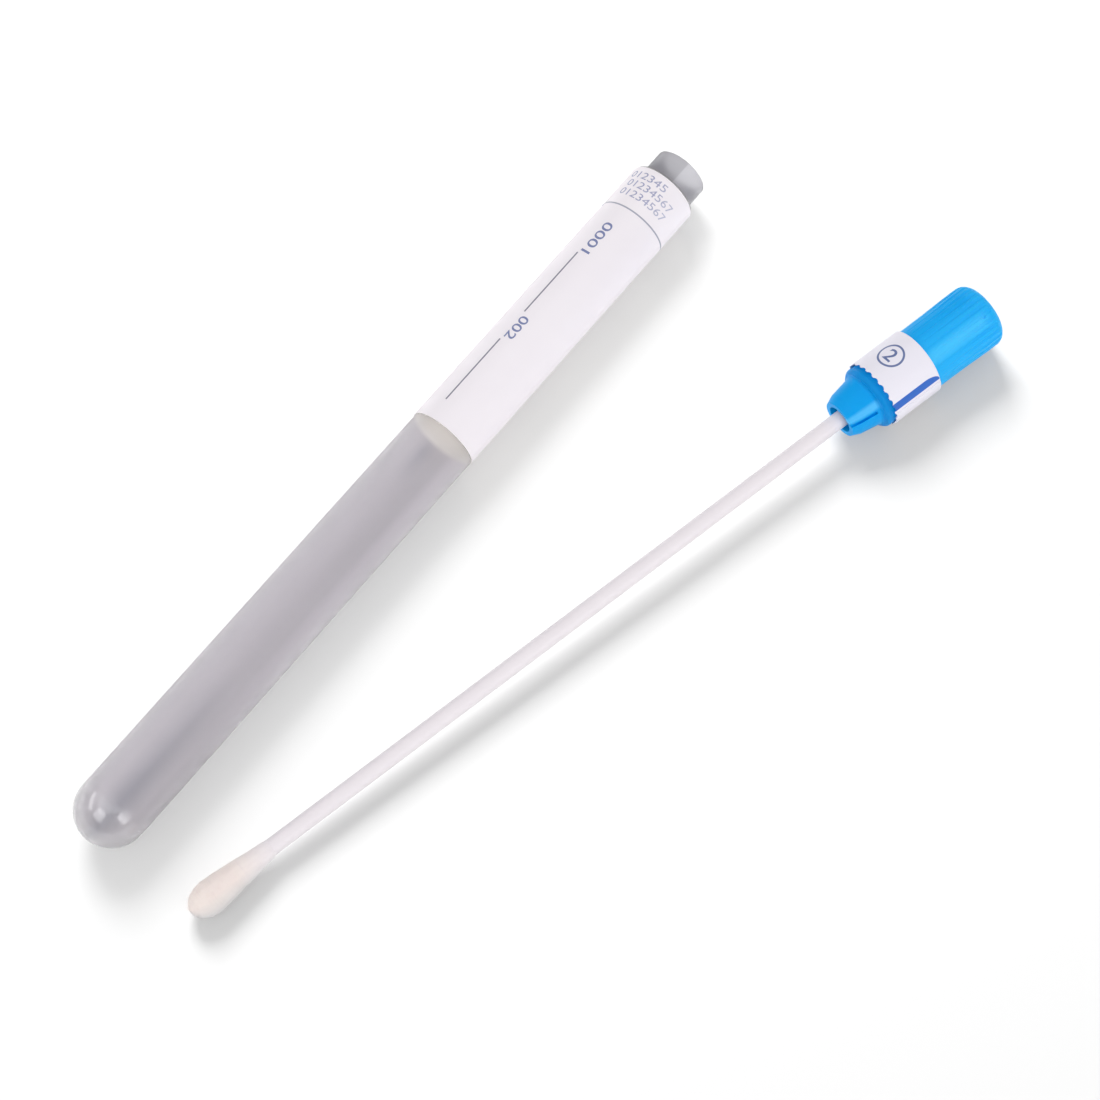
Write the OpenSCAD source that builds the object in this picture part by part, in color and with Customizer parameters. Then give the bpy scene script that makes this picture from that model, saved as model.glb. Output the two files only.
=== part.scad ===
// Specimen swab tube: a round-bottomed plastic tube with a paper wrap, and lying beside it
// the blue plug cap that carries the swab's stick and fibre tip. Millimetres, +Z up.
// The tube lies along +X with its mouth towards +X, and both parts rest on z = 0.
// Angles round a part count from its underside, over its far side (90), to its top (180).

/* [Tube] */
// Outside diameter of the tube's body
tube_d = 12; // [10:0.1:20]
// Length from the round bottom to the mouth
tube_len = 150; // [110:1:200]
// Wall of the body
tube_wall = 0.95; // [0.6:0.05:1.1]
// How far the neck is set in from the body, all round
neck_step = 1.15; // [0.6:0.05:1.4]
// Wall of the neck
neck_wall = 0.6; // [0.5:0.05:1]
// Length of the neck above the shoulder
neck_len = 4.9; // [3:0.1:8]
// Radius of the outer edges of the shoulder and the mouth
edge_round = 0.3; // [0.1:0.05:0.4]

/* [Labels] */
// Thickness of the label paper
paper = 0.1; // [0.06:0.01:0.2]
// Height of the wrap on the tube
tube_label_len = 58.1; // [30:0.1:80]
// How far the tube's wrap stops short of the shoulder's rounded edge
tube_label_margin = 0.1; // [0:0.1:3]
// Arc over which the tube's wrap laps over itself, in degrees
tube_label_lap = 24; // [5:1:60]
// Where the tube's wrap ends, in degrees round the tube
tube_label_seam = 80; // [40:1:100]
// Bare body left between the cap's strip and the grip
cap_label_margin = 1; // [0.2:0.1:3]
// How much larger in radius the loose strip is than the cap's body
cap_label_slack = 0.27; // [0:0.01:0.5]
// Arc over which the cap's strip laps over itself, in degrees
cap_label_lap = 30; // [5:1:60]
// Where the cap's strip ends, in degrees round the cap
cap_label_seam = 250; // [200:1:280]
// Number of waves along the cap strip's torn edge
tear_count = 24; // [12:1:36]
// Depth of the waves along the torn edge
tear_depth = 0.3; // [0.1:0.05:0.6]

/* [Cap] */
// How much narrower than the tube the cap's smooth body is
body_inset = 0.8; // [0:0.05:1.2]
// Length of the cap from the bead's lower side to the top
cap_head_len = 25.8; // [21:0.1:40]
// Thickness of the rounded bead round the cap's lower edge
bead_t = 1.8; // [1:0.1:3]
// How far the bead stands out past the body
bead_proud = 0.06; // [0.02:0.01:0.4]
// Room between the bead and the torn edge of the strip
bead_clearance = 0.25; // [0:0.05:1]
// Length of the grip, up to the top
grip_len = 13.7; // [8:0.1:15]
// Length of the grip's straight start, before it flares
grip_start = 0.5; // [0.1:0.1:2]
// How far the grip has flared past the body at its top
grip_flare = 0.16; // [0.05:0.01:0.4]
// Length of the widest band, below the rounded top edge
grip_band_len = 2.2; // [1:0.1:4]
// Radius of the cap's rounded top edge
top_round = 1.7; // [0.5:0.1:2.5]
// Number of grooves between the grip's ribs
rib_count = 28; // [12:1:36]
// Depth of a groove where it starts, above the strip
groove_depth = 0.06; // [0.02:0.01:0.2]
// Radius of each groove's round section
groove_r = 0.45; // [0.2:0.05:0.6]
// Diameter of the moulding gate's dimple on the grip
gate_d = 0.6; // [0.3:0.1:1]
// Depth of the moulding gate's dimple
gate_depth = 0.2; // [0.1:0.05:0.4]
// Where the dimple lies, in degrees round the cap
gate_angle = 203; // [0:1:359]

/* [Plug] */
// Length of the plug below the bead
plug_len = 5.5; // [3.5:0.1:10]
// How much wider than the mouth's bore the plug is below its fillet
plug_squeeze = 0.6; // [0:0.1:1]
// How much narrower than the mouth's bore it is where its end starts to taper
plug_lead = 0.6; // [0.1:0.1:1]
// How much the plug's end narrows further, down to its opening
plug_tip_cut = 1.3; // [0.2:0.1:1.5]
// Length of the plug's tapered end
plug_tip_len = 1.5; // [0.5:0.1:2]
// Radius of the fillet between plug and bead
plug_fillet = 0.6; // [0.2:0.1:0.8]
// Wall of the plug at its opening
plug_wall = 0.85; // [0.5:0.05:1]
// Depth of the hollow from the plug's opening
hollow_depth = 10.4; // [6:0.1:14]
// Width of the vent groove down the plug's side
vent_w = 0.6; // [0.3:0.1:1]
// Depth of the vent groove at its ends
vent_depth = 0.25; // [0.1:0.05:0.4]
// Where the vent groove runs, in degrees round the cap
vent_angle = 233; // [0:1:359]

/* [Swab] */
// Diameter of the stick
stick_d = 2.8; // [2:0.1:3.5]
// Depth of the cap's socket that grips the stick
socket_depth = 9; // [4:0.5:12]
// Room under the fibre tip when the tube is closed
bottom_gap = 11.7; // [3:0.1:20]
// Largest diameter of the fibre tip
bud_d = 5.85; // [4.5:0.05:7.2]
// Length of the fibre tip
bud_len = 16.5; // [12:0.5:30]
// Distance of the widest place from the tip's end
bud_peak = 4.1; // [2:0.1:6]
// Fibre that covers the stick's end
bud_end_cover = 2; // [1.5:0.1:4]
// Angle by which the soft tip leans off the stick, to its near side, in degrees
bud_lean = 2.4; // [0:0.1:3]
// Thickness of fibre left round the stick where the winding ends
bud_tail = 0.08; // [0.04:0.01:0.3]

/* [Layout] */
// Distance of the fibre tip's end from the tube's axis
lay_gap = 18.9; // [16:0.1:60]
// How far ahead of the tube's round bottom the fibre tip starts
lay_start = 1.9; // [-20:0.1:20]
// Angle between the swab and the tube, in degrees
lay_angle = 12.9; // [0:0.1:30]

/* [Hidden] */
$fn = 96;
small_fn = 24;    // for the small round cuts
bud_steps = 16;   // points along each half of the fibre tip's outline
over = 1;         // how far a cut runs past the face that it opens
bite_share = 0.9; // how much of their spacing the torn edge's bites take up

// Tube
tube_r = tube_d / 2;
shoulder_x = tube_len - neck_len;
neck_r = tube_r - neck_step;
mouth_d = 2 * (neck_r - neck_wall);
tube_label_top = shoulder_x - edge_round - tube_label_margin;

// Cap, from the plug's opening at 0 to the top at cap_len
body_r = (tube_d - body_inset) / 2;
bead_r = bead_t / 2;
bead_outer_r = body_r + bead_proud;
bead_ring_r = bead_outer_r - bead_r;
bead_z = plug_len + bead_r;
bead_bulge = sqrt(pow(bead_r, 2) - pow(bead_r - bead_proud, 2));
cap_len = plug_len + cap_head_len;
grip_z = cap_len - grip_len;
grip_r = body_r + grip_flare;
band_z = cap_len - top_round - grip_band_len;
flare_start_z = grip_z + grip_start;
flare_z = (grip_z + band_z) / 2;                  // slow flare up to here, then faster
flare_r = body_r + grip_flare / 4;
cap_label_z = bead_z + bead_bulge + bead_clearance;
cap_label_len = grip_z - cap_label_margin - cap_label_z;
cap_label_r = body_r + cap_label_slack;
bite_r = bite_share * cap_label_r * sin(180 / tear_count);
plug_low_d = mouth_d - plug_lead;
plug_top_r = (mouth_d + plug_squeeze) / 2;
plug_tip_d = plug_low_d - plug_tip_cut;
hollow_d = plug_tip_d - 2 * plug_wall;
vent_r = plug_tip_d / 2 - vent_depth;
vent_slope = atan((plug_top_r - plug_tip_d / 2) / plug_len);

// Swab, from the fibre tip's end at 0; closed, the bead sits on the tube's mouth
plug_start = tube_len - tube_wall - bottom_gap - plug_len;
stick_end = plug_start + hollow_depth + socket_depth;
stick_len = stick_end - bud_end_cover;
swab_len = plug_start + cap_len;

// The swab rests on the fibre tip's round nose, and on the strip or the bead, whichever is lower.
bud_r = bud_d / 2;
bead_tilt = atan((bead_outer_r - bud_r) / (plug_start + bead_z - bud_peak));
strip_rest = plug_start + cap_label_z + tear_depth;
strip_tilt = atan((body_r + paper - bud_r) / (strip_rest - bud_peak));
swab_tilt = max(bead_tilt, strip_tilt);
nose_rise = bud_peak * sin(swab_tilt);
tip_height = sqrt(pow(nose_rise, 2) + pow(bud_r * cos(swab_tilt), 2)) - nose_rise;

// Box round both parts, for the origin at its centre.
aim_x = cos(swab_tilt) * cos(lay_angle);
aim_y = -cos(swab_tilt) * sin(lay_angle);
corner_len = swab_len - top_round;
corner_r = grip_r - top_round;
far_x = lay_start + aim_x * corner_len + corner_r * sqrt(1 - pow(aim_x, 2)) + top_round;
near_y = -lay_gap + aim_y * corner_len - corner_r * sqrt(1 - pow(aim_y, 2)) - top_round;
mid_x = max(tube_len, far_x) / 2;
mid_y = (tube_r + 2 * paper + near_y) / 2;

// Places a thing built along +Z from the tube's round bottom.
module in_tube_place() {
    translate([-mid_x, -mid_y, tube_r + paper]) rotate([0, 90, 0]) children();
}

// Places a thing built along +Z from the fibre tip's end.
module in_swab_place() {
    translate([lay_start - mid_x, -lay_gap - mid_y, tip_height])
        rotate([0, 90 - swab_tilt, -lay_angle])
            children();
}

// Disc of radius r and height h with its upper edge rounded.
module rounded_disc(r, h, edge) {
    rotate_extrude() {
        square([r, h - edge]);
        square([r - edge, h]);
        translate([r - edge, h - edge])
            intersection() {
                circle(r = edge);
                square(edge);
            }
    }
}

// Column with a round bottom at z = 0 that stands straight up to the height top.
module round_bottomed(r, top) {
    translate([0, 0, r]) sphere(r = r);
    translate([0, 0, r]) cylinder(h = top - r, r = r);
}

// Paper wrap of height h on radius r, lapping over itself for lap degrees from the seam on.
module wrap(r, h, seam, lap) {
    difference() {
        cylinder(h = h, r = r + 2 * paper);
        translate([0, 0, -over]) cylinder(h = h + 2 * over, r = r);
        rotate([0, 0, seam + lap])
            rotate_extrude(angle = 360 - lap)
                translate([r + paper, -over]) square([over, h + 2 * over]);
    }
}

module tube_outside() {
    round_bottomed(tube_r, shoulder_x / 2);
    translate([0, 0, shoulder_x / 2]) rounded_disc(tube_r, shoulder_x / 2, edge_round);
    translate([0, 0, shoulder_x / 2]) rounded_disc(neck_r, tube_len - shoulder_x / 2, edge_round);
}

module tube() {
    color("Gainsboro", 0.6)
        in_tube_place()
            difference() {
                tube_outside();
                translate([0, 0, tube_wall])
                    round_bottomed(tube_r - tube_wall, shoulder_x - 2 * tube_wall);
                translate([0, 0, tube_r]) cylinder(h = tube_len, d = mouth_d);
            }
}

module tube_label() {
    color("White")
        in_tube_place()
            translate([0, 0, tube_label_top - tube_label_len])
                wrap(tube_r, tube_label_len, tube_label_seam, tube_label_lap);
}

// Plug: a short tapered end, a slow taper, and a concave fillet out to the bead.
module plug() {
    taper_end = plug_len - plug_fillet;
    cylinder(h = plug_tip_len, d1 = plug_tip_d, d2 = plug_low_d);
    translate([0, 0, plug_tip_len])
        cylinder(h = taper_end - plug_tip_len, r1 = plug_low_d / 2, r2 = plug_top_r);
    translate([0, 0, taper_end])
        rotate_extrude()
            difference() {
                square([plug_top_r + plug_fillet, plug_fillet + bead_r]);
                translate([plug_top_r + plug_fillet, 0]) circle(r = plug_fillet);
            }
}

module bead() {
    translate([0, 0, bead_z])
        rotate_extrude()
            translate([bead_ring_r, 0]) circle(r = bead_r);
    translate([0, 0, plug_len]) cylinder(h = bead_t, r = bead_ring_r);
}

// Smooth body, flared grip and rounded top.
module head() {
    translate([0, 0, bead_z]) cylinder(h = flare_start_z - bead_z, r = body_r);
    translate([0, 0, flare_start_z])
        cylinder(h = flare_z - flare_start_z, r1 = body_r, r2 = flare_r);
    translate([0, 0, flare_z]) cylinder(h = band_z - flare_z, r1 = flare_r, r2 = grip_r);
    translate([0, 0, band_z]) rounded_disc(grip_r, grip_band_len + top_round, top_round);
}

// Grooves between the grip's ribs, deeper where the grip is wider.
module rib_grooves() {
    for (i = [0 : rib_count - 1])
        rotate([0, 0, 360 * (i + 0.5) / rib_count])
            translate([body_r - groove_depth + groove_r, 0, grip_z])
                cylinder(h = grip_len + over, r = groove_r, $fn = small_fn);
}

module vent_groove() {
    rotate([0, 0, vent_angle])
        translate([vent_r, -vent_w / 2, 0])
            rotate([0, vent_slope, 0])
                translate([0, 0, -over]) cube([over, vent_w, plug_len + over - plug_fillet]);
}

module gate_dimple() {
    rotate([0, 0, gate_angle])
        translate([grip_r - gate_depth, 0, band_z + grip_band_len / 2])
            rotate([0, 90, 0]) cylinder(h = over, d = gate_d, $fn = small_fn);
}

module cap() {
    color("DodgerBlue")
        in_swab_place()
            translate([0, 0, plug_start])
                difference() {
                    union() {
                        plug();
                        bead();
                        head();
                    }
                    translate([0, 0, -over]) cylinder(h = hollow_depth + over, d = hollow_d);
                    cylinder(h = hollow_depth + socket_depth, d = stick_d);
                    rib_grooves();
                    vent_groove();
                    gate_dimple();
                }
}

// Row of round bites left where the strip was torn along its perforations.
module torn_edge() {
    for (i = [0 : tear_count - 1])
        rotate([0, 0, 360 * i / tear_count])
            translate([cap_label_r - 2 * paper, 0, tear_depth - bite_r])
                rotate([0, 90, 0]) cylinder(h = 6 * paper, r = bite_r, $fn = small_fn);
}

// The loose strip lies against the body's underside and stands off its top.
module cap_label() {
    color("White")
        in_swab_place()
            translate([-cap_label_slack, 0, plug_start + cap_label_z])
                difference() {
                    wrap(cap_label_r, cap_label_len, cap_label_seam, cap_label_lap);
                    torn_edge();
                }
}

module stick() {
    color("GhostWhite")
        in_swab_place()
            translate([0, 0, bud_end_cover]) cylinder(h = stick_len, d = stick_d);
}

// Point of a cubic curve from a to d, led by b and c.
function curve(a, b, c, d, t) =
    a * pow(1 - t, 3) + 3 * b * t * pow(1 - t, 2) + 3 * c * pow(t, 2) * (1 - t) + d * pow(t, 3);

// Outline of the fibre tip: an elliptical nose, then a long taper down to the stick.
tail_r = stick_d / 2 + bud_tail;
taper_len = bud_len - bud_peak;
bud_nose = [for (i = [0 : bud_steps])
    [bud_r * sin(90 * i / bud_steps), bud_peak * (1 - cos(90 * i / bud_steps))]];
bud_taper = [for (i = [1 : bud_steps])
    curve([bud_r, bud_peak],
          [bud_r, bud_peak + 0.1 * taper_len],
          [(bud_r + tail_r) / 2, bud_peak + 0.55 * taper_len],
          [tail_r, bud_len],
          i / bud_steps)];

module bud() {
    color("SeaShell")
        in_swab_place()
            difference() {
                translate([0, 0, bud_len])
                    rotate([-bud_lean, 0, 0])
                        translate([0, 0, -bud_len])
                            rotate_extrude()
                                polygon(concat([[0, bud_len]], bud_nose, bud_taper));
                translate([0, 0, bud_end_cover]) cylinder(h = bud_len, d = stick_d);
            }
}

tube();
tube_label();
cap();
cap_label();
stick();
bud();
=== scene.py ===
import math
import random
import bpy
from mathutils import Matrix, Vector


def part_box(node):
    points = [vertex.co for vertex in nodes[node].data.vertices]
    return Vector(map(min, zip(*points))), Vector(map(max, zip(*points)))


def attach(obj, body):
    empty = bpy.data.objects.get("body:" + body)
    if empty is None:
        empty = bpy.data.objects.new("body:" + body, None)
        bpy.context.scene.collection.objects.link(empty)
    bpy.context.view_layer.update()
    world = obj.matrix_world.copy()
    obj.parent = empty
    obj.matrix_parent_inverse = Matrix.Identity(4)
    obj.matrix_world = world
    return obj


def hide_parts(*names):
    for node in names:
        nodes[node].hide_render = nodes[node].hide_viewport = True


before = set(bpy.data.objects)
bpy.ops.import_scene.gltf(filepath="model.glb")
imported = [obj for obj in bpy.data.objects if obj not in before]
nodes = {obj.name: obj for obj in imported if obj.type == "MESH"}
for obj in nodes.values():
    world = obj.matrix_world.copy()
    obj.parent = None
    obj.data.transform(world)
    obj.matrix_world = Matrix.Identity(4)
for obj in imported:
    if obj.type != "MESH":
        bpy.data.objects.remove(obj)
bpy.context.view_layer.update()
mm = 0.001
farEnd = 1.0  # past the end of any piece, for bands that run on
print("frame loaded:", ", ".join(sorted(nodes)))

# Each of the two round parts has its own straightened place: x down, y to the far side, z along it.
# An angle round a part is 0 on its underside, 90 on its far side, 180 on top and 270 on its near side.

tubeLow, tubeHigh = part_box("tube")
tubeLabelLow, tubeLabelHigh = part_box("tube_label")
tubeAt = Vector((tubeLow.x, (tubeLow.y + tubeHigh.y) / 2, (tubeLow.z + tubeHigh.z) / 2))
tubeTurn = Matrix.Rotation(math.radians(90), 3, "Y")

swab = {"turn": -12.9, "tilt": 1.177, "stickRadius": 1.4 * mm, "tipCover": 2.0 * mm}
swabTurn = (Matrix.Rotation(math.radians(swab["turn"]), 3, "Z")
            @ Matrix.Rotation(math.radians(90 - swab["tilt"]), 3, "Y"))


def findSwab():
    # the stick's end disc touches its box on three sides
    aim = swabTurn @ Vector((0, 0, 1))
    low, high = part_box("stick")
    reach = [swab["stickRadius"] * math.sqrt(1 - share ** 2) for share in aim]
    return Vector((low.x + reach[0], high.y - reach[1], low.z + reach[2])) - aim * swab["tipCover"]


swabAt = findSwab()


# small helpers

def startClean():
    if bpy.context.object and bpy.context.object.mode != "OBJECT":
        bpy.ops.object.mode_set(mode="OBJECT")
    bpy.ops.object.select_all(action="DESELECT")


def settle(piece, at, turn):
    # moves a finished mesh into its place and leaves the object at the origin
    startClean()
    piece.select_set(True)
    bpy.context.view_layer.objects.active = piece
    piece.matrix_world = Matrix.Translation(at) @ turn.to_4x4() @ piece.matrix_world
    bpy.ops.object.transform_apply(location=True, rotation=True, scale=True)


def applyModifier(piece, kind, **settings):
    modifier = piece.modifiers.new(kind.lower(), kind)
    for key, value in settings.items():
        setattr(modifier, key, value)
    bpy.context.view_layer.objects.active = piece
    bpy.ops.object.modifier_apply(modifier=modifier.name)


def rgb(red, green, blue):
    def linear(value):
        value = value / 255
        return value / 12.92 if value <= 0.04045 else ((value + 0.055) / 1.055) ** 2.4
    return linear(red), linear(green), linear(blue), 1.0


def feed(tree, socket, value):
    if isinstance(value, bpy.types.NodeSocket):
        tree.links.new(value, socket)
    else:
        socket.default_value = value


def put(tree, kind, inputs=None, **settings):
    node = tree.nodes.new(kind)
    for key, value in settings.items():
        setattr(node, key, value)
    for key, value in (inputs or {}).items():
        feed(tree, node.inputs[key], value)
    return node


def maths(tree, operation, first, second=0.0, clamp=False):
    return put(tree, "ShaderNodeMath", {0: first, 1: second}, operation=operation,
               use_clamp=clamp).outputs[0]


def distance(tree, first, second):
    flat = put(tree, "ShaderNodeCombineXYZ", {0: first, 1: second})
    return put(tree, "ShaderNodeVectorMath", {0: flat.outputs[0]}, operation="LENGTH").outputs["Value"]


def mixColor(tree, share, first, second):
    return put(tree, "ShaderNodeMix", {0: share, 6: first, 7: second}, data_type="RGBA").outputs[2]


# shared effects

def newGroup(name, inputs, outputs):
    group = bpy.data.node_groups.new(name, "ShaderNodeTree")
    for label, kind, value in inputs:
        socket = group.interface.new_socket(label, in_out="INPUT", socket_type=kind)
        if value is not None:
            socket.default_value = value
    for label in outputs:
        group.interface.new_socket(label, in_out="OUTPUT", socket_type="NodeSocketFloat")
    return group, put(group, "NodeGroupInput").outputs, put(group, "NodeGroupOutput").inputs


def makeRoundPlace():
    # how far along a round part a point lies, and its angle round it
    group, given, made = newGroup("roundPlace", [("Vector", "NodeSocketVector", None)], ["Along", "Angle"])
    parts = put(group, "ShaderNodeSeparateXYZ", {0: given["Vector"]}).outputs
    angle = maths(group, "DEGREES", maths(group, "ARCTAN2", parts["Y"], parts["X"]))
    feed(group, made["Along"], parts["Z"])
    feed(group, made["Angle"], maths(group, "FLOORED_MODULO", angle, 360.0))
    return group


def makeSoftBand():
    # 1 inside a band of values, 0 outside it, with a soft edge
    group, given, made = newGroup("softBand", [
        ("Value", "NodeSocketFloat", 0.0), ("Centre", "NodeSocketFloat", 0.0),
        ("Half Width", "NodeSocketFloat", 1.0), ("Softness", "NodeSocketFloat", 0.1)], ["Mask"])
    away = maths(group, "ABSOLUTE", maths(group, "SUBTRACT", given["Value"], given["Centre"]))
    inside = maths(group, "SUBTRACT", given["Half Width"], away)
    share = maths(group, "DIVIDE", inside, given["Softness"])
    feed(group, made["Mask"], maths(group, "ADD", share, 0.5, clamp=True))
    return group


def makeMottle():
    # large soft patches and a fine grain
    group, given, made = newGroup("mottle", [
        ("Vector", "NodeSocketVector", None), ("Patch Scale", "NodeSocketFloat", 60.0),
        ("Grain Scale", "NodeSocketFloat", 1500.0)], ["Patches", "Grain"])
    for label, scale, detail in (("Patches", "Patch Scale", 3.0), ("Grain", "Grain Scale", 2.0)):
        noise = put(group, "ShaderNodeTexNoise",
                    {"Vector": given["Vector"], "Scale": given[scale], "Detail": detail})
        feed(group, made[label], noise.outputs[0])
    return group


def makeStreaks():
    # noise drawn out along a part, or pressed together along it
    group, given, made = newGroup("streaks", [
        ("Vector", "NodeSocketVector", None), ("Scale", "NodeSocketFloat", 400.0),
        ("Squeeze", "NodeSocketFloat", 0.02)], ["Lines"])
    share = put(group, "ShaderNodeCombineXYZ", {0: 1.0, 1: 1.0, 2: given["Squeeze"]})
    drawn = put(group, "ShaderNodeVectorMath", {0: given["Vector"], 1: share.outputs[0]},
                operation="MULTIPLY")
    noise = put(group, "ShaderNodeTexNoise",
                {"Vector": drawn.outputs[0], "Scale": given["Scale"], "Detail": 2.0})
    feed(group, made["Lines"], noise.outputs[0])
    return group


effects = {group.name: group for group in (makeRoundPlace(), makeSoftBand(), makeMottle(), makeStreaks())}


def effect(tree, name, **inputs):
    node = tree.nodes.new("ShaderNodeGroup")
    node.node_tree = effects[name]
    for key, value in inputs.items():
        feed(tree, node.inputs[key.replace("_", " ")], value)
    return node.outputs


def both(tree, first, second):
    return maths(tree, "MULTIPLY", first, second)


def band(tree, value, start, end, softness):
    return effect(tree, "softBand", Value=value, Centre=(start + end) / 2,
                  Half_Width=(end - start) / 2, Softness=softness)[0]


def stripe(tree, value, centre, width, softness):
    return band(tree, value, centre - width / 2, centre + width / 2, softness)


def ramp(tree, value, start, end, least=0.0, most=1.0):
    # least up to the start, most from the end on
    return put(tree, "ShaderNodeMapRange", {"Value": value, "From Min": start, "From Max": end,
               "To Min": least, "To Max": most}).outputs[0]


def emptyTree(owner):
    owner.use_nodes = True
    owner.node_tree.nodes.clear()
    return owner.node_tree


def newMaterial(name, at, turn):
    # the Mapping node turns object coordinates into the part's straightened place
    material = bpy.data.materials.new(name)
    tree = emptyTree(material)
    shader = put(tree, "ShaderNodeBsdfPrincipled")
    put(tree, "ShaderNodeOutputMaterial", {"Surface": shader.outputs[0]})
    coords = put(tree, "ShaderNodeTexCoord").outputs["Object"]
    place = put(tree, "ShaderNodeMapping", {"Vector": coords, "Location": tuple(at),
                "Rotation": tuple(turn.to_euler())}, vector_type="TEXTURE").outputs[0]
    return material, tree, shader.inputs, place


def mottleFor(tree, place, look):
    return effect(tree, "mottle", Vector=place, Patch_Scale=look["patchScale"],
                  Grain_Scale=look["grainScale"])


def patched(tree, place, look):
    # the look's two colours in soft patches, and the mottle they come from
    mottle = mottleFor(tree, place, look)
    return mixColor(tree, mottle["Patches"], look["color"], look["patchColor"]), mottle


def streaksFor(tree, place, look):
    return effect(tree, "streaks", Vector=place, Scale=look["lineScale"], Squeeze=look["lineSqueeze"])[0]


def addBump(tree, shader, height, strength, distance):
    bump = put(tree, "ShaderNodeBump", {"Height": height, "Strength": strength, "Distance": distance})
    feed(tree, shader["Normal"], bump.outputs[0])


def roughFrom(tree, shader, value, low, high):
    feed(tree, shader["Roughness"], ramp(tree, value, 0.0, 1.0, low, high))


def passLamps(tree, shader, color):
    # a thin wall: light from the lamps reaches what is behind it
    ray = put(tree, "ShaderNodeLightPath")
    clear = put(tree, "ShaderNodeBsdfTransparent", {"Color": color})
    solid = next(node for node in tree.nodes if node.type == "BSDF_PRINCIPLED")
    passed = put(tree, "ShaderNodeMixShader",
                 {0: ray.outputs["Is Shadow Ray"], 1: solid.outputs[0], 2: clear.outputs[0]})
    output = next(node for node in tree.nodes if node.type == "OUTPUT_MATERIAL")
    feed(tree, output.inputs["Surface"], passed.outputs[0])


def finish(piece, material):
    piece.data.materials.clear()
    piece.data.materials.append(material)
    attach(piece, "root")


def dress(node, material):
    for place in nodes[node].material_slots:
        place.material = material


# tube

# a band is where it starts, where it ends and how soft its edge is, in degrees round or in metres along
tubeLook = {
    "color": rgb(231, 228, 232), "patchColor": rgb(227, 224, 228), "patchScale": 90.0, "grainScale": 2500.0,
    # the darker streak from the round end, the darker patch below the label and the darker top are painted
    # shade; the paler near side and its edge are painted light
    "flowRound": (186, 212, 34.0), "flowAlong": (-9 * mm, 22 * mm, 26 * mm),
    "smudgeRound": (180, 192, 22.0), "smudgeAlong": (78 * mm, 83 * mm, 7 * mm),
    "shadeColor": rgb(196, 196, 203), "shadedTopColor": rgb(220, 217, 221), "shadedTopRound": (160, 200, 26.0),
    "nearColor": rgb(242, 238, 243), "nearRound": (228, 300, 14.0), "nearAlong": (30 * mm, farEnd, 34 * mm),
    "edgeColor": rgb(254, 252, 255), "edgeRound": (264, 300, 12.0),
    "underLabel": rgb(255, 253, 251), "labelEdge": 0.3 * mm,
    # the lens colour is painted light; the neck colour is painted shade, and the neck's lighter near side
    # is painted light
    "lensColor": rgb(255, 253, 252), "lensAngle": 196.0, "lensDepth": 3.4 * mm, "lensEdge": 0.8 * mm,
    "paintedNeckColor": rgb(184, 183, 188), "neckEdge": 0.2 * mm,
    "neckLight": rgb(208, 207, 212), "neckLightRound": (197, 290, 2.0),
    "roughness": 0.36, "clearRoughness": 0.1, "transmission": 0.84, "ior": 1.33, "specular": 0.15,
    "specularTint": (0.3, 0.3, 0.3, 1), "coatAlong": (-9 * mm, 6.4 * mm, 1.6 * mm), "coatRoughness": 0.11,
    "coatIor": 1.9, "lampColor": (0.68, 0.68, 0.68, 1), "lampUnderLabel": (0.99, 0.98, 0.97, 1),
}


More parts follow.
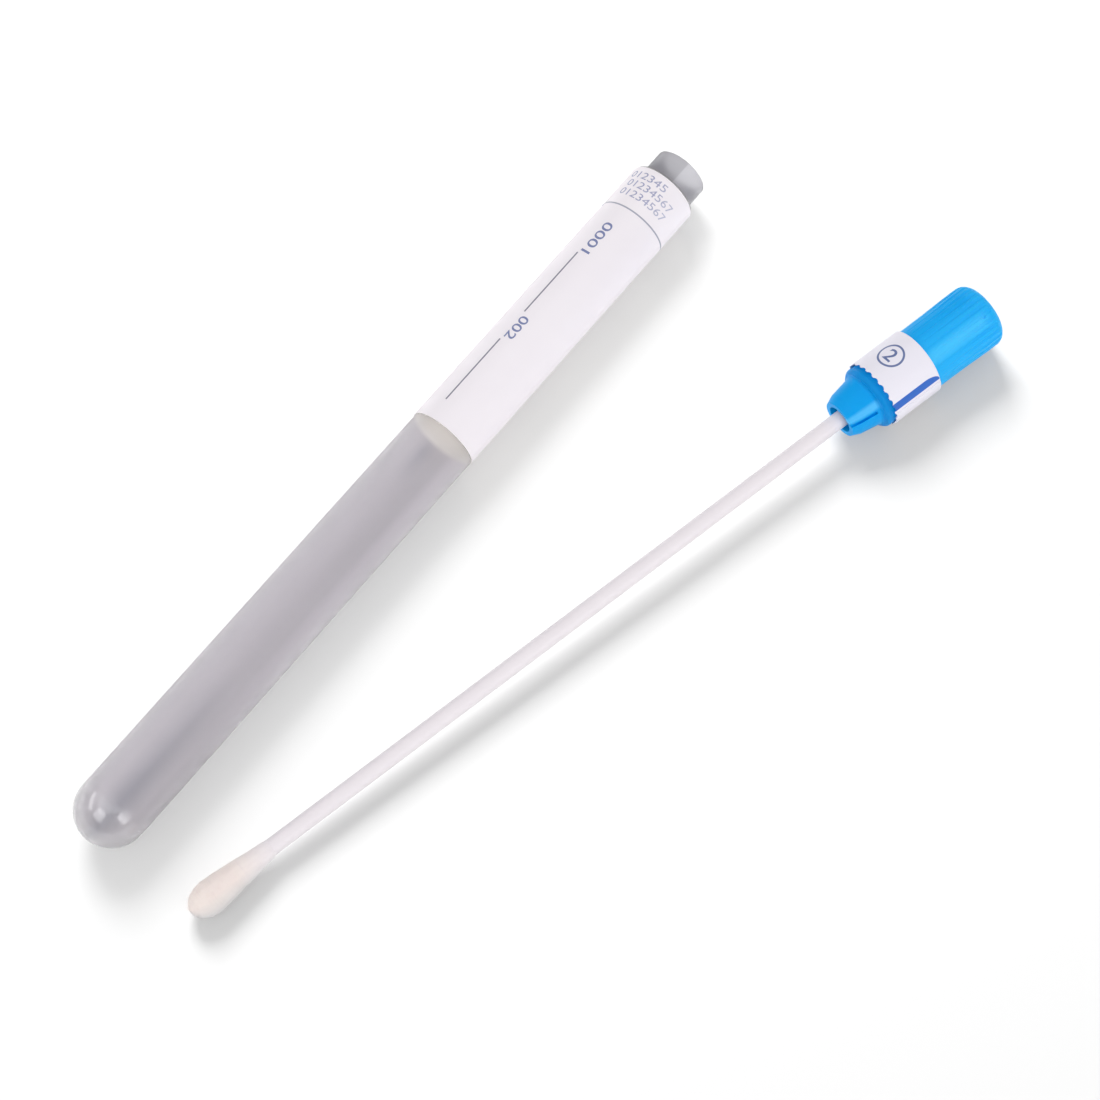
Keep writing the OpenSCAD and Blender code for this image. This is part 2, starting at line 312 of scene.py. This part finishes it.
def tubeMaterial():
    material, tree, shader, place = newMaterial("tubePlastic", tubeAt, tubeTurn)
    along, angle = effect(tree, "roundPlace", Vector=place)
    labelStart, labelEnd = tubeLabelLow.x - tubeAt.x, tubeLabelHigh.x - tubeAt.x
    covered = band(tree, along, labelStart, labelEnd, tubeLook["labelEdge"])
    color, mottle = patched(tree, place, tubeLook)
    # painted shade: a darker streak runs up from the round end, and a short darker patch stops below the
    # label
    shadeStreakLine, smudge = (both(tree, band(tree, angle, *tubeLook[part + "Round"]),
                             band(tree, along, *tubeLook[part + "Along"])) for part in ("flow", "smudge"))
    shade = maths(tree, "MAXIMUM", shadeStreakLine, smudge)
    # painted shade: the top of the tube is darker
    color = mixColor(tree, band(tree, angle, *tubeLook["shadedTopRound"]), color, tubeLook["shadedTopColor"])
    # painted light: the near side is paler, and palest at its edge
    upper = band(tree, along, *tubeLook["nearAlong"])
    for part in ("near", "edge"):
        share = both(tree, band(tree, angle, *tubeLook[part + "Round"]), upper)
        color = mixColor(tree, share, color, tubeLook[part + "Color"])
    color = mixColor(tree, shade, color, tubeLook["shadeColor"])
    # just below the label the wall lets the paper's pale inside show, and the wall is painted paler there
    # as painted light
    lean = maths(tree, "SUBTRACT", angle, tubeLook["lensAngle"])
    lean = maths(tree, "COSINE", maths(tree, "RADIANS", lean))
    level = maths(tree, "ADD", along, maths(tree, "MULTIPLY", lean, tubeLook["lensDepth"]))
    lens = band(tree, level, labelStart, farEnd, tubeLook["lensEdge"])
    color = mixColor(tree, lens, color, tubeLook["lensColor"])
    # painted shade darkens the neck above the label, and painted light makes its near side lighter
    neck = band(tree, along, labelEnd, farEnd, tubeLook["neckEdge"])
    lightSide = band(tree, angle, *tubeLook["neckLightRound"])
    paintedNeckColor = mixColor(tree, lightSide, tubeLook["paintedNeckColor"], tubeLook["neckLight"])
    color = mixColor(tree, neck, color, paintedNeckColor)
    feed(tree, shader["Base Color"], mixColor(tree, covered, color, tubeLook["underLabel"]))
    # duller in patches, clearer all over where the paper covers it, and shiny at the round end
    dull = maths(tree, "ADD", mottle["Patches"], 0.5)
    dull = maths(tree, "SUBTRACT", dull, maths(tree, "MULTIPLY", covered, 2.0))
    roughFrom(tree, shader, dull, tubeLook["clearRoughness"], tubeLook["roughness"])
    feed(tree, shader["Coat Weight"], band(tree, along, *tubeLook["coatAlong"]))
    shader["Coat Roughness"].default_value = tubeLook["coatRoughness"]
    shader["Coat IOR"].default_value = tubeLook["coatIor"]
    shader["Specular Tint"].default_value = tubeLook["specularTint"]
    shader["IOR"].default_value = tubeLook["ior"]
    shader["Specular IOR Level"].default_value = tubeLook["specular"]
    shader["Transmission Weight"].default_value = tubeLook["transmission"]
    passLamps(tree, shader, mixColor(tree, covered, tubeLook["lampColor"], tubeLook["lampUnderLabel"]))
    return material


dress("tube", tubeMaterial())


# paper labels

paperLook = {
    "tube": {"color": rgb(244, 239, 244), "patchColor": rgb(240, 234, 240)},
    "cap": {"color": rgb(238, 235, 245), "patchColor": rgb(233, 230, 241)},
    "thick": 0.1 * mm, "patchScale": 120.0, "grainScale": 3000.0, "bump": (0.15, 0.02 * mm),
    "roughness": (0.36, 0.5),
    "inside": rgb(255, 250, 247), "insideRadius": 6.05 * mm, "lampColor": (0.72, 0.72, 0.72, 1),
    "lampOutside": (0.52, 0.52, 0.52, 1), "lampInside": (1, 1, 1, 1), "inkEdge": 0.06 * mm,
}
# the ring line rises by its lean over every 100 degrees round
tubePrint = {
    "ringColor": rgb(160, 161, 178), "ringAt": 136.1 * mm, "ringWidth": 0.27 * mm, "ringLean": 0.3 * mm,
    "ringAngle": 140.0, "ruleColor": rgb(128, 124, 142), "ruleAngle": 156.2, "ruleWidth": 2.6,
    "ruleEdge": 0.6, "rules": ((90.6 * mm, 104.5 * mm), (110.8 * mm, 124.8 * mm)),
}
capPrint = {
    "ringColor": rgb(96, 112, 160), "ringAngle": 161.0, "ringAt": 143.75 * mm, "ringRadius": 2.15 * mm,
    "ringWidth": 0.36 * mm, "bandColor": rgb(24, 98, 196), "bandAngles": (230.0, 244.5), "bandEdge": 0.8,
    "bandCorner": (12.5, 2.9 * mm), "cornerEdge": 0.08, "bandEnd": 148.4 * mm, "radius": 5.97 * mm,
    "lift": 0.27 * mm,
}
# the strip stands off the top of the cap, so its own axis is a little above the cap's
stripAt = swabAt + swabTurn @ Vector((-capPrint["lift"], 0, 0))


def paperBase(name, at, turn, colors):
    material, tree, shader, place = newMaterial(name, at, turn)
    color, mottle = patched(tree, place, {**paperLook, **colors})
    addBump(tree, shader, mottle["Grain"], *paperLook["bump"])
    roughFrom(tree, shader, mottle["Grain"], *paperLook["roughness"])
    return material, tree, shader, place, color


def gluedSide(tree, place):
    # 1 on the inner face of the tube's paper
    parts = put(tree, "ShaderNodeSeparateXYZ", {0: place}).outputs
    away = distance(tree, parts["X"], parts["Y"])
    return maths(tree, "LESS_THAN", away, paperLook["insideRadius"])


def tubeLabelMaterial():
    material, tree, shader, place, color = paperBase("tubePaper", tubeAt, tubeTurn, paperLook["tube"])
    along, angle = effect(tree, "roundPlace", Vector=place)
    # the label was rolled on a little askew
    turned = maths(tree, "SUBTRACT", angle, tubePrint["ringAngle"])
    lean = maths(tree, "MULTIPLY", turned, -tubePrint["ringLean"] / 100)
    level = maths(tree, "ADD", along, lean)
    ring = stripe(tree, level, tubePrint["ringAt"], tubePrint["ringWidth"], paperLook["inkEdge"])
    color = mixColor(tree, ring, color, tubePrint["ringColor"])
    ruled = stripe(tree, angle, tubePrint["ruleAngle"], tubePrint["ruleWidth"], tubePrint["ruleEdge"])
    for start, end in tubePrint["rules"]:
        rule = both(tree, ruled, band(tree, along, start, end, paperLook["inkEdge"]))
        color = mixColor(tree, rule, color, tubePrint["ruleColor"])
    # the glued side lies in the tube's own wall, so both of the paper's faces look alike from inside
    inside = gluedSide(tree, place)
    fromInside = maths(tree, "MAXIMUM", inside, put(tree, "ShaderNodeNewGeometry").outputs["Backfacing"])
    feed(tree, shader["Base Color"], mixColor(tree, fromInside, color, paperLook["inside"]))
    passLamps(tree, shader, mixColor(tree, inside, paperLook["lampOutside"], paperLook["lampInside"]))
    return material


def capLabelMaterial():
    material, tree, shader, place, color = paperBase("capPaper", stripAt, swabTurn, paperLook["cap"])
    along, angle = effect(tree, "roundPlace", Vector=place)
    arc = maths(tree, "MULTIPLY", maths(tree, "SUBTRACT", angle, capPrint["ringAngle"]),
                math.radians(capPrint["radius"]))
    away = distance(tree, arc, maths(tree, "SUBTRACT", along, capPrint["ringAt"]))
    ring = stripe(tree, away, capPrint["ringRadius"], capPrint["ringWidth"], paperLook["inkEdge"])
    color = mixColor(tree, ring, color, capPrint["ringColor"])
    # a printed band beside the lap, with one rounded corner
    start, end = capPrint["bandAngles"]
    wide, high = capPrint["bandCorner"]
    across = maths(tree, "DIVIDE", maths(tree, "SUBTRACT", start + wide, angle), wide)
    across = maths(tree, "MAXIMUM", across, 0.0)
    above = maths(tree, "DIVIDE", maths(tree, "SUBTRACT", along, capPrint["bandEnd"] - high), high)
    above = maths(tree, "MAXIMUM", above, 0.0)
    reach = maths(tree, "ADD", maths(tree, "POWER", across, 2.0), maths(tree, "POWER", above, 2.0))
    filled = both(tree, band(tree, reach, -1.0, 1.0, capPrint["cornerEdge"]),
                  band(tree, angle, start, end, capPrint["bandEdge"]))
    feed(tree, shader["Base Color"], mixColor(tree, filled, color, capPrint["bandColor"]))
    passLamps(tree, shader, paperLook["lampColor"])
    return material


dress("tube_label", tubeLabelMaterial())
dress("cap_label", capLabelMaterial())


# cap

capLook = {
    "color": rgb(39, 182, 249), "patchColor": rgb(33, 175, 246), "patchScale": 150.0, "grainScale": 2500.0,
    "sideAlong": (100 * mm, 160.6 * mm, 2 * mm),
    # the deeper far side, the plug colour and the bead colour are painted shade; the paler top and the
    # light stripe on the plug are painted highlights
    "farColor": rgb(20, 170, 243), "farRound": (90, 170, 24.0),
    "rubbedColor": rgb(68, 195, 255), "rubbedRound": (195, 218, 10.0),
    "paintedPlugColor": rgb(0, 160, 236), "plugAlong": (131 * mm, 138.9 * mm, 0.6 * mm),
    "plugHighlight": rgb(80, 189, 250), "plugHighlightRound": (208, 225, 8.0),
    "shadedBeadColor": rgb(0, 141, 218), "beadAlong": (137.2 * mm, 139.2 * mm, 0.6 * mm),
    "bump": (0.1, 0.02 * mm), "roughness": (0.34, 0.46), "specular": 0.12,
    "glow": 0.12, "glowScale": 1.0 * mm,
}


def capMaterial():
    material, tree, shader, place = newMaterial("capPlastic", swabAt, swabTurn)
    along, angle = effect(tree, "roundPlace", Vector=place)
    color, mottle = patched(tree, place, capLook)
    # painted shade deepens the far side and a painted highlight makes the top paler, but not on the flat
    # end
    onSide = band(tree, along, *capLook["sideAlong"])
    for part in ("far", "rubbed"):
        share = both(tree, onSide, band(tree, angle, *capLook[part + "Round"]))
        color = mixColor(tree, share, color, capLook[part + "Color"])
    # painted shade darkens the plug, and a painted highlight runs along it
    plugHighlight = band(tree, angle, *capLook["plugHighlightRound"])
    paintedPlugColor = mixColor(tree, plugHighlight, capLook["paintedPlugColor"], capLook["plugHighlight"])
    color = mixColor(tree, band(tree, along, *capLook["plugAlong"]), color, paintedPlugColor)
    # painted shade darkens the bead next to the strip
    color = mixColor(tree, band(tree, along, *capLook["beadAlong"]), color, capLook["shadedBeadColor"])
    feed(tree, shader["Base Color"], color)
    addBump(tree, shader, mottle["Grain"], *capLook["bump"])
    roughFrom(tree, shader, mottle["Patches"], *capLook["roughness"])
    shader["Specular IOR Level"].default_value = capLook["specular"]
    shader["Subsurface Weight"].default_value = capLook["glow"]
    shader["Subsurface Scale"].default_value = capLook["glowScale"]
    return material


dress("cap", capMaterial())


# stick

stickLook = {
    "color": rgb(237, 231, 235), "patchColor": rgb(232, 225, 230), "patchScale": 150.0,
    "grainScale": 2500.0, "lineScale": 900.0, "lineSqueeze": 0.02, "bump": (0.15, 0.02 * mm),
    "roughness": (0.29, 0.41),
}


def stickMaterial():
    material, tree, shader, place = newMaterial("stickPlastic", swabAt, swabTurn)
    color, mottle = patched(tree, place, stickLook)
    feed(tree, shader["Base Color"], color)
    addBump(tree, shader, streaksFor(tree, place, stickLook), *stickLook["bump"])
    roughFrom(tree, shader, mottle["Patches"], *stickLook["roughness"])
    return material


dress("stick", stickMaterial())
print("materials placed")


# printed numbers

inkLook = {
    "stampColor": rgb(155, 157, 189), "fadedColor": rgb(194, 194, 214), "fieldColor": rgb(116, 126, 170),
    "fieldFaded": rgb(146, 154, 190), "signColor": rgb(96, 112, 160), "signFaded": rgb(130, 143, 182),
    "fadeAngles": (175.0, 235.0), "patchScale": 900.0, "grainScale": 3500.0, "bump": (0.1, 0.01 * mm),
    "roughness": 0.5, "thick": 0.012 * mm, "stripWidth": 0.25 * mm, "curveSteps": 4, "textDepth": 0.01,
}
stampNumbers = {
    "stampTop": {"body": "012345", "angle": 161.5, "along": 142.95 * mm, "size": (7.95 * mm, 1.4 * mm)},
    "stampMiddle": {"body": "01234567", "angle": 180.5, "along": 141.0 * mm, "size": (10.1 * mm, 1.4 * mm)},
    "stampLow": {"body": "01234567", "angle": 180.5, "along": 139.0 * mm, "size": (10.1 * mm, 1.4 * mm)},
}
fieldNumbers = {
    "fieldOne": {"body": "0001", "along": 128.8 * mm, "size": (6.9 * mm, 1.75 * mm)},
    "fieldTwo": {"body": "002", "along": 107.6 * mm, "size": (4.9 * mm, 1.75 * mm)},
}
fieldStyle = {"angle": 166.0, "sideways": True, "bold": 0.008}
signNumber = {"body": "2", "angle": capPrint["ringAngle"], "along": capPrint["ringAt"],
              "size": (1.7 * mm, 2.5 * mm), "bold": 0.01}


def inkMaterial(name, at, turn, ink, faded):
    material, tree, shader, place = newMaterial(name, at, turn)
    angle = effect(tree, "roundPlace", Vector=place)["Angle"]
    worn = mottleFor(tree, place, inkLook)["Grain"]
    share = ramp(tree, angle, *inkLook["fadeAngles"])
    share = maths(tree, "ADD", share, maths(tree, "SUBTRACT", worn, 0.5), clamp=True)
    feed(tree, shader["Base Color"], mixColor(tree, share, inkLook[ink], inkLook[faded]))
    addBump(tree, shader, worn, *inkLook["bump"])
    shader["Roughness"].default_value = inkLook["roughness"]
    return material


def wrapNumber(name, look, radius, at, turn):
    # the text is made a mesh, cut into narrow strips and bent round the label
    startClean()
    bpy.ops.object.text_add()
    piece = bpy.context.object
    piece.name = name
    piece.data.body = look["body"]
    piece.data.align_x, piece.data.align_y = "CENTER", "CENTER"
    piece.data.offset = look.get("bold", 0.0)
    piece.data.resolution_u = inkLook["curveSteps"]
    piece.data.extrude = inkLook["textDepth"]
    bpy.ops.object.convert(target="MESH")
    piece = bpy.context.object
    piece.dimensions = (*look["size"], inkLook["thick"])
    bpy.ops.object.transform_apply(scale=True)
    bpy.ops.object.origin_set(type="ORIGIN_GEOMETRY", center="BOUNDS")
    upright = Matrix.Rotation(math.radians(90), 3, "X")
    if look.get("sideways"):
        upright = upright @ Matrix.Rotation(math.radians(-90), 3, "Z")
    piece.matrix_world = upright.to_4x4()
    bpy.ops.object.transform_apply(location=True, rotation=True)
    width = piece.dimensions.x
    cuts = math.ceil(width / inkLook["stripWidth"])
    bpy.ops.object.mode_set(mode="EDIT")
    bpy.ops.mesh.select_all(action="SELECT")
    bpy.ops.mesh.remove_doubles(threshold=1e-7)
    for cut in range(1, cuts):
        bpy.ops.mesh.select_all(action="SELECT")
        bpy.ops.mesh.bisect(plane_co=(width * (cut / cuts - 0.5), 0, 0), plane_no=(1, 0, 0))
    bpy.ops.object.mode_set(mode="OBJECT")
    applyModifier(piece, "SIMPLE_DEFORM", deform_method="BEND", deform_axis="Z", angle=width / radius)
    # it was bent on the near side, at 270 degrees
    piece.matrix_world = (Matrix.Rotation(math.radians(look["angle"] - 270), 4, "Z")
                          @ Matrix.Translation((0, -radius, look["along"])))
    settle(piece, at, turn)
    return piece


def addNumbers():
    stamp = inkMaterial("stampInk", tubeAt, tubeTurn, "stampColor", "fadedColor")
    field = inkMaterial("fieldInk", tubeAt, tubeTurn, "fieldColor", "fieldFaded")
    sign = inkMaterial("signInk", swabAt, swabTurn, "signColor", "signFaded")
    paperTop = (tubeHigh.y - tubeLow.y) / 2 + paperLook["thick"]
    for name, look in stampNumbers.items():
        piece = wrapNumber(name, look, paperTop + inkLook["thick"] / 2, tubeAt, tubeTurn)
        finish(piece, stamp)
    for name, look in fieldNumbers.items():
        piece = wrapNumber(name, {**look, **fieldStyle}, paperTop + inkLook["thick"] / 2, tubeAt, tubeTurn)
        finish(piece, field)
    stripTop = capPrint["radius"] + inkLook["thick"] / 2
    piece = wrapNumber("signNumber", signNumber, stripTop, stripAt, swabTurn)
    finish(piece, sign)


addNumbers()
print("numbers printed")


# fibre tip

tipLook = {
    "radius": 2.925 * mm, "peak": 4.1 * mm, "length": 16.5 * mm, "tail": 1.48 * mm, "lean": -2.4,
    "hold": (0.1, 0.55), "rings": 14, "around": 48, "lumps": 0.16 * mm, "lumpSize": 1.1 * mm,
    "color": rgb(243, 234, 226), "patchColor": rgb(237, 221, 219), "patchScale": 260.0,
    "grainScale": 5000.0, "lineScale": 350.0, "lineSqueeze": 9.0,
    # the groove colour is painted shade in the grooves between the wound turns
    "grooveShadeColor": rgb(235, 222, 219), "grooveRange": (0.46, 0.2),
    # the near colour is painted shade on the near side
    "nearColor": rgb(209, 206, 206), "nearRound": (237, 330, 52.0),
    "endColor": rgb(237, 231, 235), "endRange": (9 * mm, 16.4 * mm),
    "bump": (0.25, 0.05 * mm), "roughness": 0.9, "sheen": 0.3,
}
fibreLook = {
    "count": 170, "length": 1.5 * mm, "radius": 0.011 * mm, "bend": 70, "spread": 30, "seed": 7,
    "cuts": (-0.33, -0.17, 0, 0.17, 0.33), "lift": (-0.06, 0.02), "lowest": 0.05 * mm,
}


def tipOutline():
    # distance along and radius, from the nose to where the fibre ends on the stick
    radius, peak, length, tail = (tipLook[key] for key in ("radius", "peak", "length", "tail"))
    rings = tipLook["rings"]
    outline = []
    for step in range(1, rings + 1):
        turn = math.radians(90 * step / rings)
        outline.append((peak * (1 - math.cos(turn)), radius * math.sin(turn)))
    taper = length - peak
    full, half = tipLook["hold"]
    held = ((peak, radius), (peak + full * taper, radius),
            (peak + half * taper, (radius + tail) / 2), (length, tail))
    for step in range(1, rings + 1):
        t = step / rings
        weights = ((1 - t) ** 3, 3 * t * (1 - t) ** 2, 3 * t * t * (1 - t), t ** 3)
        outline.append(tuple(sum(w * point[axis] for w, point in zip(weights, held)) for axis in (0, 1)))
    return outline


def leaned():
    # the tip bends a little towards the near side from where it is wound on
    pivot = Matrix.Translation((0, 0, tipLook["length"]))
    return pivot @ Matrix.Rotation(math.radians(tipLook["lean"]), 4, "X") @ pivot.inverted()


def closeRing():
    bpy.ops.mesh.extrude_region_move()
    bpy.ops.mesh.merge(type="CENTER")


def addFibreTip():
    outline = tipOutline()
    startClean()
    bpy.ops.mesh.primitive_circle_add(vertices=tipLook["around"], radius=outline[0][1], location=(0, 0, 0))
    piece = bpy.context.object
    piece.name = "fibreTip"
    bpy.ops.object.mode_set(mode="EDIT")
    bpy.ops.mesh.select_all(action="SELECT")
    bpy.ops.transform.translate(value=(0, 0, outline[0][0]))
    for (before, wide), (after, newWide) in zip(outline, outline[1:]):
        bpy.ops.mesh.extrude_region_move(TRANSFORM_OT_translate={"value": (0, 0, after - before)})
        grow = newWide / wide
        bpy.ops.transform.resize(value=(grow, grow, 1), center_override=(0, 0, after))
    closeRing()
    bpy.ops.mesh.select_all(action="DESELECT")
    bpy.ops.mesh.select_mode(type="EDGE")
    bpy.ops.mesh.select_non_manifold()
    closeRing()
    bpy.ops.mesh.select_all(action="SELECT")
    bpy.ops.mesh.normals_make_consistent(inside=False)
    bpy.ops.object.mode_set(mode="OBJECT")
    bpy.ops.object.shade_smooth()
    applyModifier(piece, "SUBSURF", levels=2, render_levels=2)
    clouds = bpy.data.textures.new("lumps", "CLOUDS")
    clouds.noise_scale = tipLook["lumpSize"]
    applyModifier(piece, "DISPLACE", texture=clouds, strength=tipLook["lumps"], mid_level=1.0,
                  texture_coords="LOCAL")
    piece.matrix_world = leaned()
    settle(piece, swabAt, swabTurn)
    return piece


def fibreMaterial():
    material, tree, shader, place = newMaterial("woundFibre", swabAt, swabTurn)
    color, mottle = patched(tree, place, tipLook)
    wound = streaksFor(tree, place, tipLook)
    # painted shade darkens the grooves between the wound turns
    color = mixColor(tree, ramp(tree, wound, *tipLook["grooveRange"]), color, tipLook["grooveShadeColor"])
    # painted shade greys the near side, and the fibre thins out towards the stick
    along, angle = effect(tree, "roundPlace", Vector=place)
    color = mixColor(tree, band(tree, angle, *tipLook["nearRound"]), color, tipLook["nearColor"])
    color = mixColor(tree, ramp(tree, along, *tipLook["endRange"]), color, tipLook["endColor"])
    feed(tree, shader["Base Color"], color)
    height = maths(tree, "ADD", wound, maths(tree, "MULTIPLY", mottle["Grain"], 0.5))
    addBump(tree, shader, height, *tipLook["bump"])
    shader["Roughness"].default_value = tipLook["roughness"]
    shader["Sheen Weight"].default_value = tipLook["sheen"]
    return material


def oneFibre():
    length = fibreLook["length"]
    startClean()
    bpy.ops.mesh.primitive_cylinder_add(vertices=3, radius=fibreLook["radius"], depth=length,
                                        rotation=(0, math.radians(90), 0))
    fibre = bpy.context.object
    bpy.ops.object.transform_apply(rotation=True)
    bpy.ops.object.mode_set(mode="EDIT")
    for share in fibreLook["cuts"]:
        bpy.ops.mesh.select_all(action="SELECT")
        bpy.ops.mesh.bisect(plane_co=(share * length, 0, 0), plane_no=(1, 0, 0))
    bpy.ops.object.mode_set(mode="OBJECT")
    applyModifier(fibre, "SIMPLE_DEFORM", deform_method="BEND", deform_axis="Z",
                  angle=math.radians(fibreLook["bend"]))
    return fibre


def turnAbout(axis, degrees):
    return Matrix.Rotation(math.radians(degrees), 4, axis)


def fibrePlace(outline, chance):
    # somewhere on the wound surface, lying mostly round it; the step stays short of the last ring
    step = chance.uniform(1, len(outline) - 1.01)
    share = step - int(step)
    (lowAlong, lowWide), (highAlong, highWide) = outline[int(step)], outline[int(step) + 1]
    along = lowAlong + share * (highAlong - lowAlong)
    wide = lowWide + share * (highWide - lowWide)
    goRound = turnAbout("Z", chance.uniform(0, 360))
    lift = Matrix.Translation((wide + chance.uniform(*fibreLook["lift"]) * mm, 0, along))
    lay = turnAbout("X", chance.gauss(0, fibreLook["spread"]))
    roll = turnAbout("Z", 90) @ turnAbout("X", chance.uniform(-180, 180))
    return goRound @ lift @ lay @ roll


def addLooseFibres():
    outline = tipOutline()
    chance = random.Random(fibreLook["seed"])
    fibre = oneFibre()
    place = Matrix.Translation(swabAt) @ swabTurn.to_4x4() @ leaned()
    made = []
    while len(made) < fibreLook["count"]:
        at = place @ fibrePlace(outline, chance)
        if min((at @ vertex.co).z for vertex in fibre.data.vertices) < fibreLook["lowest"]:
            continue
        startClean()
        fibre.select_set(True)
        bpy.context.view_layer.objects.active = fibre
        bpy.ops.object.duplicate()
        bpy.context.object.matrix_world = at
        made.append(bpy.context.object)
    startClean()
    for piece in made:
        piece.select_set(True)
    bpy.context.view_layer.objects.active = made[0]
    bpy.ops.object.join()
    piece = bpy.context.object
    piece.name = "looseFibres"
    bpy.ops.object.transform_apply(location=True, rotation=True, scale=True)
    bpy.data.objects.remove(fibre)
    return piece


tip = addFibreTip()
loose = addLooseFibres()
woundFibre = fibreMaterial()
for piece in (tip, loose):
    finish(piece, woundFibre)
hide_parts("bud")
print("fibre tip wound")


# studio

studio = {
    "cameraAt": (-0.118887, -0.096032, 0.418), "aim": (0.003343, 0.002798, 0.0), "lens": 89.36,
    "fill": 0.5, "floorSize": 8, "floorDrop": 0.02 * mm, "floorColor": 0.3, "floorBounce": 0.54,
    "floorGlow": (0.33, 1.0), "glowRange": (0.14, 0.6),
}
# direction and height in degrees, distance and size in metres, and the share of a white sheet's brightness
softboxes = {
    "topLight": {"azimuth": 40, "height": 80, "away": 0.9, "size": (1.4, 1.4), "share": 0.44},
    "nearLight": {"azimuth": -90, "height": 31, "away": 0.8, "size": (0.5, 0.5), "share": 0.24},
    "leftLight": {"azimuth": 172, "height": 46, "away": 0.8, "size": (0.42, 0.42), "share": 0.14},
    "farLight": {"azimuth": 116, "height": 32, "away": 0.8, "size": (0.6, 0.13), "share": 0.08},
    "floorLight": {"azimuth": 57, "height": 42, "away": 0.8, "size": (0.36, 0.36), "share": 2.45,
                   "floorOnly": True},
}


def addToScene(data, at, turn):
    made = bpy.data.objects.new(data.name, data)
    bpy.context.scene.collection.objects.link(made)
    made.location = at
    made.rotation_euler = turn.to_euler()
    return made


def addCamera():
    data = bpy.data.cameras.new("camera")
    data.lens = studio["lens"]
    data.sensor_width = 36
    data.clip_start = 0.01
    at = Vector(studio["cameraAt"])
    ahead = Vector(studio["aim"]) - at
    bpy.context.scene.camera = addToScene(data, at, ahead.to_track_quat("-Z", "Y"))


def addFloor():
    startClean()
    bpy.ops.mesh.primitive_plane_add(size=studio["floorSize"], location=(0, 0, -studio["floorDrop"]))
    floor = bpy.context.object
    floor.name = "floor"
    material = bpy.data.materials.new("floorPaper")
    tree = emptyTree(material)
    ray = put(tree, "ShaderNodeLightPath").outputs
    seen = maths(tree, "MAXIMUM", ray["Is Camera Ray"], ray["Is Glossy Ray"])
    seen = maths(tree, "MAXIMUM", seen, ray["Is Transmission Ray"])
    paper = put(tree, "ShaderNodeBsdfDiffuse", {"Color": (studio["floorColor"],) * 3 + (1.0,)})
    # the lamps fade far from the object, and the glow makes up for it
    coords = put(tree, "ShaderNodeTexCoord").outputs["Object"]
    away = put(tree, "ShaderNodeVectorMath", {0: coords}, operation="LENGTH").outputs["Value"]
    lift = ramp(tree, away, *studio["glowRange"], *studio["floorGlow"])
    glow = put(tree, "ShaderNodeEmission", {"Strength": lift})
    white = put(tree, "ShaderNodeAddShader", {0: paper.outputs[0], 1: glow.outputs[0]})
    bounce = put(tree, "ShaderNodeBsdfDiffuse", {"Color": (studio["floorBounce"],) * 3 + (1.0,)})
    mixed = put(tree, "ShaderNodeMixShader", {0: seen, 1: bounce.outputs[0], 2: white.outputs[0]})
    put(tree, "ShaderNodeOutputMaterial", {"Surface": mixed.outputs[0]})
    floor.data.materials.append(material)
    return floor


def addSoftbox(name, look, floor):
    data = bpy.data.lights.new(name, "AREA")
    data.shape = "RECTANGLE"
    data.size, data.size_y = look["size"]
    data.energy = look["share"] * (math.pi * look["away"]) ** 2
    azimuth, height = math.radians(look["azimuth"]), math.radians(look["height"])
    level = math.cos(height)
    aim = Vector((math.cos(azimuth) * level, math.sin(azimuth) * level, math.sin(height)))
    lamp = addToScene(data, aim * look["away"], aim.to_track_quat("Z", "Y"))
    if look.get("floorOnly"):
        lit = bpy.data.collections.new(name + "Lit")
        lit.objects.link(floor)
        lamp.light_linking.receiver_collection = lit


def setWorld():
    world = bpy.data.worlds.new("studioWorld")
    bpy.context.scene.world = world
    tree = emptyTree(world)
    ray = put(tree, "ShaderNodeLightPath").outputs
    fill = put(tree, "ShaderNodeBackground", {"Strength": studio["fill"], "Color": (1, 1, 1, 1)})
    white = put(tree, "ShaderNodeBackground", {"Strength": 1.0, "Color": (1, 1, 1, 1)})
    mixed = put(tree, "ShaderNodeMixShader",
                {0: ray["Is Camera Ray"], 1: fill.outputs[0], 2: white.outputs[0]})
    put(tree, "ShaderNodeOutputWorld", {"Surface": mixed.outputs[0]})


addCamera()
floor = addFloor()
for name, look in softboxes.items():
    addSoftbox(name, look, floor)
setWorld()
bpy.context.scene.view_settings.view_transform = "Standard"
print("studio set")
